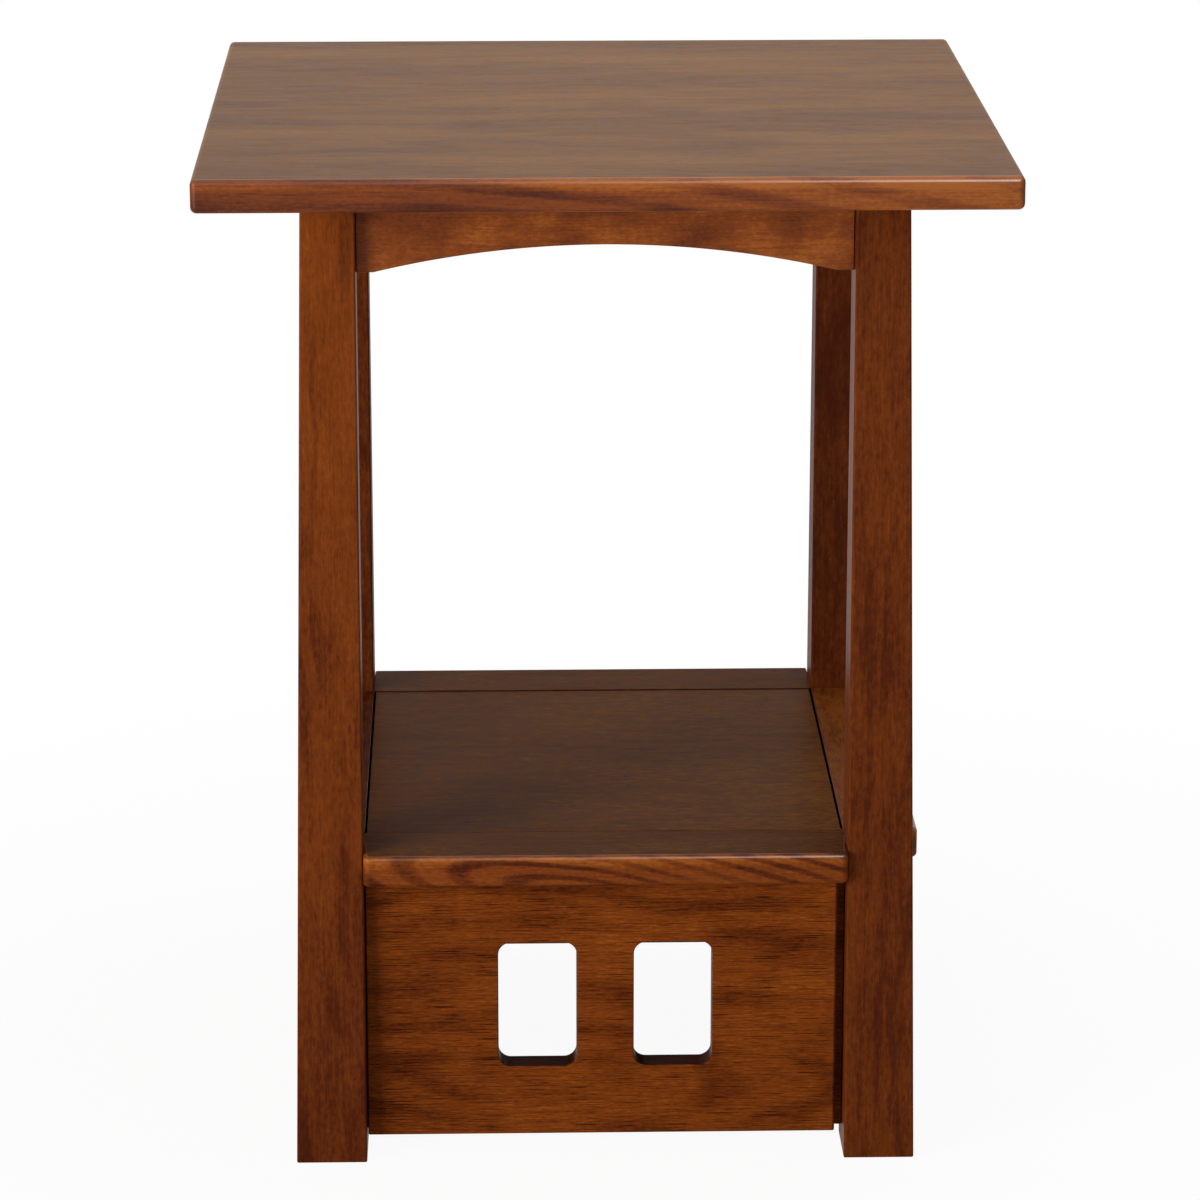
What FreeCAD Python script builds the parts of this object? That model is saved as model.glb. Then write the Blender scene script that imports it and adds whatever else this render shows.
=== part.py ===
import os

from FreeCAD import Vector
import Part

# An end table with a shelf, in millimetres. X runs from left to right, Y from front to back and Z up.
# The origin lies on the floor under the middle of the table.

# Table top
table_height = 663.0
top_width = 508.0
top_depth = 508.0
top_thickness = 21.0
top_overhang = 64.0
top_corner_radius = 4.2
top_edge_radius = 3.8

# Legs: inner faces plumb, outer faces spreading towards the foot
leg_top_size = 34.0
leg_foot_size = 46.0
leg_edge_radius = 1.5
leg_foot_chamfer = 1.0

# Arched aprons under the top, with mitred tenons that meet inside the legs
apron_height = 52.0
apron_thickness = 19.0
apron_setback = 8.0
apron_edge_radius = 1.0
arch_rise = 17.0
arch_land = 11.0
apron_tenon_thickness = 8.0
apron_tenon_top_shoulder = 10.0
apron_tenon_bottom_shoulder = 6.0

# Shelf: four nosed rails between the legs and a board let in between the rails. Each rail stands proud
# of the legs, by its own amount on the right and on the left; the rear one has only a small nose.
shelf_height = 212.0
rail_thickness = 20.5
rail_projection = 8.0
right_rail_projection = 6.8
left_rail_projection = 1.5
nose_radius = 3.0
nose_return_radius = 4.5
rear_nose_radius = 1.0
rear_nose_return_radius = 1.2
rail_tenon_length = 12.0
rail_tenon_width = 22.0
rail_tenon_thickness = 8.0
mortise_web = 2.0
shelf_board_thickness = 20.0
shelf_board_gap = 1.5

# Lower panels with two cut-outs each, tongued into the legs. Seen from outside, each has a tight joint
# at its left end and an open shadow line at its right end.
panel_floor_gap = 14.0
panel_thickness = 19.0
panel_setback = 13.0
panel_joint_gap = 0.8
panel_shadow_gap = 5.4
tongue_thickness = 8.0
tongue_depth = 8.0
cutout_width = 51.0
cutout_height = 85.5
cutout_spacing = 88.2
cutout_lift = 47.4
cutout_corner_radius = 8.2

# Cleats that carry the shelf board, with a tongue that fits a stopped groove in the panel
cleat_width = 30.0
cleat_height = 19.0
cleat_tongue_thickness = 6.0
cleat_tongue_depth = 5.0
cleat_tongue_stop = 30.0

# Corner blocks that brace the aprons and hold the top, each with two tongues housed in the aprons
block_size = 62.0
block_toe = 12.0
block_height = 25.0
block_tongue_distance = 44.0
block_tongue_width = 10.0
block_tongue_depth = 5.0

# Countersunk screws that hold the top
top_screw_distance = 24.0
top_screw_bite = 14.0
screw_head_diameter = 8.0
screw_shank_diameter = 4.0
screw_head_height = 2.5

# Clearances
mortise_clearance = 0.2
mitre_clearance = 0.5
cleat_end_clearance = 1.0
block_leg_clearance = 0.5
screw_clearance = 0.1
cutter_overrun = 1.0

# Values worked out from the ones above. An offset is measured outwards from the legs' inner faces.
leg_gap_x = top_width - 2 * (top_overhang + leg_top_size)
leg_gap_y = top_depth - 2 * (top_overhang + leg_top_size)
leg_height = table_height - top_thickness
apron_outer = leg_top_size - apron_setback
apron_inner = apron_outer - apron_thickness
apron_bottom = leg_height - apron_height
apron_tenon_inner = apron_inner + (apron_thickness - apron_tenon_thickness) / 2
apron_tenon_outer = apron_tenon_inner + apron_tenon_thickness
apron_tenon_bottom = apron_bottom + apron_tenon_bottom_shoulder
apron_tenon_top = leg_height - apron_tenon_top_shoulder
shelf_underside = shelf_height - rail_thickness
rail_tenon_inner = rail_tenon_length + mortise_web
rail_tenon_outer = rail_tenon_inner + rail_tenon_width
rail_tenon_bottom = shelf_underside + (rail_thickness - rail_tenon_thickness) / 2
rail_tenon_top = rail_tenon_bottom + rail_tenon_thickness
panel_outer = leg_foot_size - panel_setback
panel_inner = panel_outer - panel_thickness
tongue_outer = panel_inner + tongue_thickness
cleat_inner = panel_inner - cleat_width
cleat_bottom = shelf_underside - cleat_height

# The sides in the order in which a quarter turn brings the front one round, and the corners
side_names = ("front", "right", "rear", "left")
corner_names = ("front_left", "front_right", "rear_left", "rear_right")


def side_spans(side):
    """The span between a side's legs, and the gap across to the opposite side."""
    if side in ("front", "rear"):
        return leg_gap_x, leg_gap_y
    return leg_gap_y, leg_gap_x


def rail_nose(side):
    """How far a rail stands proud of the legs, and the radii of its nose and of the nose's return."""
    if side == "rear":
        return rail_projection, rear_nose_radius, rear_nose_return_radius
    if side == "right":
        return right_rail_projection, nose_radius, nose_return_radius
    if side == "left":
        return left_rail_projection, nose_radius, nose_return_radius
    return rail_projection, nose_radius, nose_return_radius


def leg_outer(height):
    """The offset of a leg's sloping outer faces at this height."""
    return leg_foot_size + (leg_top_size - leg_foot_size) * height / leg_height


def block(low, high):
    """A box between its lowest and its highest corner."""
    size = high - low
    return Part.makeBox(size.x, size.y, size.z, low)


def prism(points, travel):
    """A flat polygon pushed along a vector."""
    return Part.Face(Part.makePolygon(points + points[:1])).extrude(travel)


def front_block(x_low, x_high, gap, inner, outer, bottom, top):
    """A box on the front side, between two offsets from the legs' inner faces."""
    low = Vector(x_low, -gap / 2 - outer, bottom)
    return block(low, Vector(x_high, -gap / 2 - inner, top))


def turned(shape, side):
    """A shape made on the front side, brought round the table's upright axis to another side."""
    copy = shape.copy()
    copy.rotate(Vector(0, 0, 0), Vector(0, 0, 1), 90 * side_names.index(side))
    return copy


def at_corner(shape, corner):
    """A shape made at the rear right corner, mirrored to another corner."""
    if "left" in corner:
        shape = shape.mirror(Vector(0, 0, 0), Vector(1, 0, 0))
    if "front" in corner:
        shape = shape.mirror(Vector(0, 0, 0), Vector(0, 1, 0))
    return shape


def rounded_rectangle(width, height, radius):
    """A closed wire round the origin, in the plane of X and Y, with round corners."""
    x = width / 2
    y = height / 2
    bend = radius * (1 - 0.5 ** 0.5)
    edges = []
    for side_x, side_y in ((1, 1), (-1, 1), (-1, -1), (1, -1)):
        on_side = Vector(side_x * x, side_y * (y - radius), 0)
        on_end = Vector(side_x * (x - radius), side_y * y, 0)
        middle = Vector(side_x * (x - bend), side_y * (y - bend), 0)
        edges.append(Part.Arc(on_side, middle, on_end).toShape())
    edges.append(Part.makeLine(Vector(x - radius, y, 0), Vector(radius - x, y, 0)))
    edges.append(Part.makeLine(Vector(x - radius, -y, 0), Vector(radius - x, -y, 0)))
    edges.append(Part.makeLine(Vector(x, y - radius, 0), Vector(x, radius - y, 0)))
    edges.append(Part.makeLine(Vector(-x, y - radius, 0), Vector(-x, radius - y, 0)))
    return Part.Wire(Part.__sortEdges__(edges))


def edges_at_height(shape, height):
    """The edges that lie flat at this height."""
    return [
        edge for edge in shape.Edges
        if abs(edge.BoundBox.ZMin - height) < 1e-6 and abs(edge.BoundBox.ZMax - height) < 1e-6
    ]


def top_screw(extra=0.0, lead_in=0.0):
    """The screw up through the rear right corner block into the top, or its hole when extra is given."""
    head = screw_head_diameter / 2 + extra
    shank = screw_shank_diameter / 2 + extra
    end = block_height + top_screw_bite + extra
    outline = [
        Vector(0, 0, 0),
        Vector(head, 0, 0),
        Vector(shank, 0, screw_head_height),
        Vector(shank, 0, end),
        Vector(0, 0, end),
    ]
    face = Part.Face(Part.makePolygon(outline + outline[:1]))
    shape = face.revolve(Vector(0, 0, 0), Vector(0, 0, 1), 360)
    if lead_in > 0:
        shape = shape.fuse(Part.makeCylinder(head, lead_in, Vector(0, 0, -lead_in)))
    shape.translate(block_corner() + Vector(-top_screw_distance, -top_screw_distance, 0))
    return shape


def top_screw_hole():
    """What the screw takes out of the wood that it passes through."""
    return top_screw(screw_clearance, cutter_overrun)


def block_corner():
    """The point where the inner faces of the two aprons would meet, at the rear right corner."""
    return Vector(leg_gap_x / 2 + apron_inner, leg_gap_y / 2 + apron_inner, leg_height - block_height)


def block_tongues(slack=0.0):
    """The two tongues of the rear right corner block, or their housings when slack is given."""
    near = block_tongue_distance - block_tongue_width / 2 - slack
    far = block_tongue_distance + block_tongue_width / 2 + slack
    root = -cutter_overrun
    tip = block_tongue_depth + slack
    top = block_height
    if slack > 0:
        top += cutter_overrun
    corner = block_corner()
    return [
        block(corner + Vector(root, -far, -slack), corner + Vector(tip, -near, top)),
        block(corner + Vector(-far, root, -slack), corner + Vector(-near, tip, top)),
    ]


def cleat_half_length(side):
    """Half the length of a cleat: the front and rear ones run through, the others fit between them."""
    half = side_spans(side)[0] / 2
    if side in ("front", "rear"):
        return half - cleat_end_clearance
    return half + cleat_inner - cleat_end_clearance


def cleat_tongue(side, slack=0.0):
    """A cleat's tongue on the front side, or the groove for it when slack is given."""
    gap = side_spans(side)[1]
    half = cleat_half_length(side) - cleat_tongue_stop + slack
    bottom = cleat_bottom + (cleat_height - cleat_tongue_thickness) / 2
    heights = (bottom - slack, bottom + cleat_tongue_thickness + slack)
    offsets = (panel_inner - cutter_overrun, panel_inner + cleat_tongue_depth + slack)
    return front_block(-half, half, gap, *offsets, *heights)


def make_top():
    """The top board, with round corners and softened edges, drilled from below for its screws."""
    outline = Part.Face(rounded_rectangle(top_width, top_depth, top_corner_radius))
    board = outline.extrude(Vector(0, 0, top_thickness))
    board.translate(Vector(0, 0, leg_height))
    rims = edges_at_height(board, leg_height) + edges_at_height(board, table_height)
    board = board.makeFillet(top_edge_radius, rims)
    return board.cut([at_corner(top_screw_hole(), corner) for corner in corner_names])


def make_leg():
    """The rear right leg: a post with plumb inner and sloping outer faces, mortised for its joints."""
    taper_x = [
        Vector(0, 0, 0),
        Vector(leg_foot_size, 0, 0),
        Vector(leg_top_size, 0, leg_height),
        Vector(0, 0, leg_height),
    ]
    taper_y = [Vector(0, point.x, point.z) for point in taper_x]
    spread_x = prism(taper_x, Vector(0, leg_foot_size, 0))
    spread_y = prism(taper_y, Vector(leg_foot_size, 0, 0))
    post = spread_x.common(spread_y)
    long_edges = [edge for edge in post.Edges if edge.BoundBox.ZLength > leg_height / 2]
    post = post.makeFillet(leg_edge_radius, long_edges)
    post = post.makeChamfer(leg_foot_chamfer, edges_at_height(post, 0))
    slack = mortise_clearance
    mortises = [
        (apron_tenon_outer, apron_tenon_inner, apron_tenon_outer, apron_tenon_bottom, apron_tenon_top),
        (rail_tenon_length, rail_tenon_inner, rail_tenon_outer, rail_tenon_bottom, rail_tenon_top),
        (tongue_depth, panel_inner, tongue_outer, panel_floor_gap, shelf_underside),
    ]
    cutters = []
    for depth, inner, outer, bottom, top in mortises:
        low_x = Vector(-cutter_overrun, inner - slack, bottom - slack)
        high_x = Vector(depth + slack, outer + slack, top + slack)
        cutters.append(block(low_x, high_x))
        low_y = Vector(inner - slack, -cutter_overrun, bottom - slack)
        high_y = Vector(outer + slack, depth + slack, top + slack)
        cutters.append(block(low_y, high_y))
    post = post.cut(cutters)
    post.translate(Vector(leg_gap_x / 2, leg_gap_y / 2, 0))
    return post


def make_apron(side):
    """An arched apron with a mitred tenon at each end, and housings for its two corner blocks."""
    span, gap = side_spans(side)
    half = span / 2
    y_outer = -gap / 2 - apron_outer
    corners_below = [
        Vector(-half, y_outer, apron_bottom),
        Vector(arch_land - half, y_outer, apron_bottom),
        Vector(half - arch_land, y_outer, apron_bottom),
        Vector(half, y_outer, apron_bottom),
    ]
    crown = Vector(0, y_outer, apron_bottom + arch_rise)
    top_right = Vector(half, y_outer, leg_height)
    top_left = Vector(-half, y_outer, leg_height)
    outline = Part.Wire([
        Part.makeLine(corners_below[0], corners_below[1]),
        Part.Arc(corners_below[1], crown, corners_below[2]).toShape(),
        Part.makeLine(corners_below[2], corners_below[3]),
        Part.makeLine(corners_below[3], top_right),
        Part.makeLine(top_right, top_left),
        Part.makeLine(top_left, corners_below[0]),
    ])
    apron = Part.Face(outline).extrude(Vector(0, apron_thickness, 0))
    lower_rim = [
        edge for edge in apron.Edges
        if edge.BoundBox.ZMax < leg_height - cutter_overrun and edge.BoundBox.XLength > cutter_overrun
    ]
    apron = apron.makeFillet(apron_edge_radius, lower_rim)
    tenons = []
    for end in (-1, 1):
        root = half - cutter_overrun
        plan = [
            (root, apron_tenon_inner),
            (half + apron_tenon_inner - mitre_clearance, apron_tenon_inner),
            (half + apron_tenon_outer - mitre_clearance, apron_tenon_outer),
            (root, apron_tenon_outer),
        ]
        points = [Vector(end * x, -gap / 2 - offset, apron_tenon_bottom) for x, offset in plan]
        tenons.append(prism(points, Vector(0, 0, apron_tenon_top - apron_tenon_bottom)))
    apron = turned(apron.fuse(tenons).removeSplitter(), side)
    housings = []
    for corner in corner_names:
        housings += [at_corner(tongue, corner) for tongue in block_tongues(mortise_clearance)]
    return apron.cut(housings)


def make_rail(side):
    """A shelf rail: a nosed front edge that returns round both ends, and a stub tenon into each leg."""
    span, gap = side_spans(side)
    half = span / 2
    projection, radius, return_radius = rail_nose(side)
    outer = leg_outer(shelf_height) + projection
    core_outer = outer - return_radius
    pieces = [front_block(-half, half, gap, 0, core_outer, shelf_underside, shelf_height)]
    bend = radius * (1 - 0.5 ** 0.5)
    x_return = half - return_radius

    def nose_point(offset, height):
        return Vector(x_return, -gap / 2 - offset, height)

    below = [
        nose_point(outer - radius, shelf_underside),
        nose_point(outer - bend, shelf_underside + bend),
        nose_point(outer, shelf_underside + radius),
    ]
    above = [
        nose_point(outer, shelf_height - radius),
        nose_point(outer - bend, shelf_height - bend),
        nose_point(outer - radius, shelf_height),
    ]
    root_below = nose_point(core_outer, shelf_underside)
    root_above = nose_point(core_outer, shelf_height)
    nose = Part.Face(Part.Wire([
        Part.makeLine(root_below, below[0]),
        Part.Arc(*below).toShape(),
        Part.makeLine(below[2], above[0]),
        Part.Arc(*above).toShape(),
        Part.makeLine(above[2], root_above),
        Part.makeLine(root_above, root_below),
    ]))
    pieces.append(nose.extrude(Vector(-2 * x_return, 0, 0)))
    right_return = nose.revolve(root_below, Vector(0, 0, 1), 90)
    pieces.append(right_return)
    pieces.append(right_return.mirror(Vector(0, 0, 0), Vector(1, 0, 0)))
    for end in (-1, 1):
        ends = sorted([end * (half - cutter_overrun), end * (half + rail_tenon_length)])
        offsets = (rail_tenon_inner, rail_tenon_outer)
        pieces.append(front_block(*ends, gap, *offsets, rail_tenon_bottom, rail_tenon_top))
    return turned(pieces[0].fuse(pieces[1:]).removeSplitter(), side)


def make_shelf_board():
    """The board let in between the rails, resting on the cleats a little below the rails' top faces."""
    x = leg_gap_x / 2 - shelf_board_gap
    y = leg_gap_y / 2 - shelf_board_gap
    top = shelf_underside + shelf_board_thickness
    return block(Vector(-x, -y, shelf_underside), Vector(x, y, top))


def make_panel(side):
    """A lower panel with two cut-outs, tongued along its ends for the legs and grooved for its cleat."""
    span, gap = side_spans(side)
    half = span / 2
    tongue_end = half + tongue_depth
    heights = (panel_floor_gap, shelf_underside)
    ends = (panel_joint_gap - half, half - panel_shadow_gap)
    panel = front_block(*ends, gap, panel_inner, panel_outer, *heights)
    tongue = front_block(-tongue_end, tongue_end, gap, panel_inner, tongue_outer, *heights)
    panel = panel.fuse(tongue).removeSplitter()
    opening = Part.Face(rounded_rectangle(cutout_width, cutout_height, cutout_corner_radius))
    opening.rotate(Vector(0, 0, 0), Vector(1, 0, 0), 90)
    cutter = opening.extrude(Vector(0, panel_thickness + 2 * cutter_overrun, 0))
    middle = panel_floor_gap + cutout_lift + cutout_height / 2
    cutters = [cleat_tongue(side, mortise_clearance)]
    for end in (-1, 1):
        place = Vector(end * cutout_spacing / 2, -gap / 2 - panel_outer - cutter_overrun, middle)
        copy = cutter.copy()
        copy.translate(place)
        cutters.append(copy)
    return turned(panel.cut(cutters), side)


def make_cleat(side):
    """A cleat housed in the inside of a panel, under the shelf board and its rail."""
    gap = side_spans(side)[1]
    half = cleat_half_length(side)
    cleat = front_block(-half, half, gap, cleat_inner, panel_inner, cleat_bottom, shelf_underside)
    return turned(cleat.fuse(cleat_tongue(side)).removeSplitter(), side)


def make_corner_block():
    """The rear right corner block: notched round the leg, tongued for the aprons and drilled."""
    notch = apron_inner + block_leg_clearance
    plan = [
        (notch, 0),
        (block_size, 0),
        (block_size, block_toe),
        (block_toe, block_size),
        (0, block_size),
        (0, notch),
        (notch, notch),
    ]
    points = [block_corner() + Vector(-x, -y, 0) for x, y in plan]
    body = prism(points, Vector(0, 0, block_height))
    return body.fuse(block_tongues()).removeSplitter().cut(top_screw_hole())


def make_parts():
    """Every piece of the table, by the name of its node."""
    parts = {"table_top": make_top(), "shelf_board": make_shelf_board()}
    leg = make_leg()
    corner_block = make_corner_block()
    for corner in corner_names:
        parts["leg_" + corner] = at_corner(leg, corner)
        parts["corner_block_" + corner] = at_corner(corner_block, corner)
    for side in side_names:
        parts["apron_" + side] = make_apron(side)
        parts["shelf_rail_" + side] = make_rail(side)
        parts["lower_panel_" + side] = make_panel(side)
        parts["shelf_cleat_" + side] = make_cleat(side)
    parts["top_screws"] = Part.makeCompound([at_corner(top_screw(), corner) for corner in corner_names])
    return parts


def main():
    """Writes one file for each piece."""
    os.makedirs("parts", exist_ok=True)
    for name, shape in make_parts().items():
        if not shape.isValid():
            raise ValueError(name + " is not a valid shape")
        shape.exportStep("parts/" + name + ".step")
        print(name, len(shape.Solids), round(shape.Volume))


main()
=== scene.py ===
import math

import bmesh
import bpy
from mathutils import Matrix, Vector


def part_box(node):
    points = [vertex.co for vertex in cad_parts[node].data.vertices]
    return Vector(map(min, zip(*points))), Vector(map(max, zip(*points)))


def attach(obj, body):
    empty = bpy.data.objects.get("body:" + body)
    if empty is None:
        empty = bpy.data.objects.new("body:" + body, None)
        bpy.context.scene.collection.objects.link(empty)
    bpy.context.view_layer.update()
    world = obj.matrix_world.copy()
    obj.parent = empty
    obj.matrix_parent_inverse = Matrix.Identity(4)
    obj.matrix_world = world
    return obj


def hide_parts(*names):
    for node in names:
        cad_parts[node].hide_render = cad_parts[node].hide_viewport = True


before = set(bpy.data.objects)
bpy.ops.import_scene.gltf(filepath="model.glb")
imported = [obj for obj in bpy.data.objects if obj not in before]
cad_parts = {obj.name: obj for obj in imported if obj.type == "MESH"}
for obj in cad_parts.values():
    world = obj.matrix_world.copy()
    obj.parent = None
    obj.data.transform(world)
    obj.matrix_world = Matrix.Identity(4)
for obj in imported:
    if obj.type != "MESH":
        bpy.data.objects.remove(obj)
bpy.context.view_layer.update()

bl_info = {
    "name": "End table with shelf",
    "version": (1, 0, 0),
    "blender": (4, 5, 0),
    "location": "3D View > Sidebar > End table",
    "description": "Builds a stained wooden end table with a shelf and pierced lower panels",
    "category": "Add Mesh",
}

# One millimetre in the scene's metres
MM = 0.001

# An edge that turns more than this counts as an edge of the board, and not as a step of a curve
EDGE_ANGLE = math.radians(30)

# Points closer than this lie on one line
TOUCH = MM / 10

# How far a normal leans up or down on a level face, and to the side in a joint, on an edge and on any round
LEVEL_LEAN = 0.999
JOINT_LEAN = 0.5
EDGE_LEAN = 0.35
ROUND_LEAN = 0.02

# How far below an upper edge its painted glow runs out, in millimetres
PAINTED_GLOW_STRIP = 6.0

# Steps in the round of an edge, in a quarter circle of an outline and in the arch of an apron
EDGE_STEPS = 5
CORNER_STEPS = 10
ARCH_STEPS = 64

# The sides in the order in which a quarter turn brings the front one round, and the corners
SIDES = ("front", "right", "rear", "left")
CORNERS = ("front_left", "front_right", "rear_left", "rear_right")

# Turns that bring the run of the grain on to the X axis of a pattern
GRAIN_TURNS = {
    "x": (0.0, 0.0, 0.0),
    "y": (0.0, 0.0, -math.pi / 2),
    "z": (0.0, math.pi / 2, 0.0),
}

# Sliced veneer shows hardly any rings, but many short pores and a broad mottle
SLICED = {
    "figure": 0.05,
    "fibre": 0.36,
    "mottle": 0.7,
    "speck": (9.0, 4.0),
    "pore": 0.2,
    "tick": (8.0, 0.9),
}


def linear(code):
    """An sRGB hex value as a linear colour with full opacity."""
    channels = [int(code[place:place + 2], 16) / 255 for place in (1, 3, 5)]
    shades = [
        shade / 12.92 if shade <= 0.04045 else ((shade + 0.055) / 1.055) ** 2.4
        for shade in channels
    ]
    return (*shades, 1.0)


def size(name, description, millimetres):
    """A length that a user may change, given in millimetres."""
    return bpy.props.FloatProperty(
        name=name, description=description, default=millimetres * MM, min=0.0, unit="LENGTH", precision=4
    )


def colour(name, description, code):
    """A colour that a user may change, given as an sRGB hex value."""
    return bpy.props.FloatVectorProperty(
        name=name, description=description, subtype="COLOR", size=4, min=0.0, max=1.0, default=linear(code)
    )


class EndTableSizes(bpy.types.PropertyGroup):
    """Sizes of the shaped edges and cut-outs; the places of the boards come from the frame."""

    top_corner_radius: size("Top corner", "Radius of the top's corners seen from above", 4.2)
    top_edge_radius: size("Top edge", "Radius of the round along the top's rims", 3.8)
    leg_top_size: size("Leg at the top", "Width of a leg under the top", 34.0)
    leg_edge_radius: size("Leg edge", "Radius of the round along a leg", 1.5)
    leg_foot_radius: size("Leg foot", "Radius of the round under a leg", 1.0)
    apron_setback: size("Apron setback", "Step from a leg's outer face back to the apron, at the top", 8.0)
    apron_thickness: size("Apron thickness", "Thickness of an apron", 19.0)
    apron_edge_radius: size("Apron edge", "Radius of the round along the arch", 1.0)
    arch_rise: size("Arch rise", "Height of the arch over its ends", 17.0)
    arch_land: size("Arch land", "Flat length at each end of the arch", 11.0)
    nose_radius: size("Rail nose", "Radius of the round along a shelf rail's outer edge", 3.0)
    nose_return_radius: size("Nose return", "Radius of a rail's outer corners seen from above", 4.5)
    rear_nose_radius: size("Rear nose", "Radius of the round along the rear rail's outer edge", 1.0)
    rear_nose_return_radius: size("Rear nose return", "Radius of the rear rail's outer corners", 1.2)
    panel_joint_gap: size("Panel joint", "Tight joint between a panel's left end and the leg", 0.8)
    panel_shadow_gap: size("Panel shadow gap", "Open line between a panel's right end and the leg", 5.4)
    tongue_thickness: size("Panel tongue", "Thickness of the tongue behind the open line", 8.0)
    cutout_width: size("Cut-out width", "Width of a cut-out in a lower panel", 51.0)
    cutout_height: size("Cut-out height", "Height of a cut-out in a lower panel", 85.5)
    cutout_spacing: size("Cut-out spacing", "Distance between the middles of a panel's cut-outs", 88.2)
    cutout_lift: size("Cut-out lift", "Height of a cut-out over the panel's lower edge", 47.4)
    cutout_corner_radius: size("Cut-out corner", "Radius of a cut-out's corners", 8.2)
    panel_edge_radius: size("Panel edge", "Radius of the sanded edges of a panel", 0.9)
    panel_end_radius: size("Panel end", "Radius of a panel's upright edge beside the open line", 2.0)
    arris_radius: size("Sanded arris", "Radius of every other sanded edge", 0.5)
    joint_arris_radius: size("Joint arris", "Radius of the edges along the shelf's joints", 0.2)


class EndTableColours(bpy.types.PropertyGroup):
    """Colours of the stain on solid wood and on the browner veneers, from the darkest to the lightest."""

    stain_pore: colour("Pores", "Stain gathered in open pores and dark streaks", "#1E0B05")
    stain_late: colour("Latewood", "Stain on the dense late wood of a ring", "#4A1D08")
    stain_mid: colour("Board", "The stain over most of a board", "#783A11")
    stain_light: colour("Early wood", "Stain on the pale early wood of a ring", "#98541C")
    veneer_pore: colour("Shelf pores", "Stain gathered in the pores of the shelf's veneer", "#1C0C06")
    veneer_late: colour("Shelf latewood", "Stain on the dense late wood of that veneer", "#43210B")
    veneer_mid: colour("Shelf", "The stain over most of that veneer", "#6A3B12")
    veneer_light: colour("Shelf early wood", "Stain on the pale early wood of that veneer", "#88541E")
    # The top's veneer colours are less red than the stain on the solid wood: partly the veneer's own stain,
    # and partly a painted reflection, the greyish sheen of the pale room seen low across the top
    top_pore: colour("Top pores", "Stain gathered in the pores of the top's veneer", "#1C0D06")
    top_late: colour("Top latewood", "Stain on the dense late wood of that veneer", "#40220B")
    top_mid: colour("Top", "The stain over most of that veneer", "#653D13")
    top_light: colour("Top early wood", "Stain on the pale early wood of that veneer", "#83561E")
    screw_zinc: colour("Screws", "Zinc on the screws under the top", "#B5AC97")
    floor: colour("Floor", "The pale floor of the studio", "#F4F4F2")


def add(tree, kind, inputs=None, stops=None, **settings):
    """Adds a node with its settings, and sets or links its inputs; stops are those of a colour ramp."""
    node = tree.nodes.new(kind)
    for name, value in settings.items():
        setattr(node, name, value)
    for name, value in (inputs or {}).items():
        if isinstance(value, bpy.types.NodeSocket):
            tree.links.new(value, node.inputs[name])
        else:
            node.inputs[name].default_value = value
    for place, (position, shade) in enumerate(stops or ()):
        ramp = node.color_ramp.elements
        stop = ramp[place] if place < 2 else ramp.new(position)
        stop.position = position
        stop.color = shade
    return node


def new_material(name):
    """An empty node material."""
    material = bpy.data.materials.new(name)
    material.use_nodes = True
    material.node_tree.nodes.clear()
    return material


def grain_noise(tree, place, length, width, detail, roughness):
    """Noise drawn out along the grain, with patches of about this length and width in millimetres."""
    stretch = (1 / (length * MM), 1 / (width * MM), 1 / (width * MM))
    drawn_out = add(tree, "ShaderNodeMapping", {"Vector": place, "Scale": stretch}).outputs["Vector"]
    return add(tree, "ShaderNodeTexNoise", {
        "Vector": drawn_out, "Scale": 1.0, "Detail": detail, "Roughness": roughness,
    }).outputs["Fac"]


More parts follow.
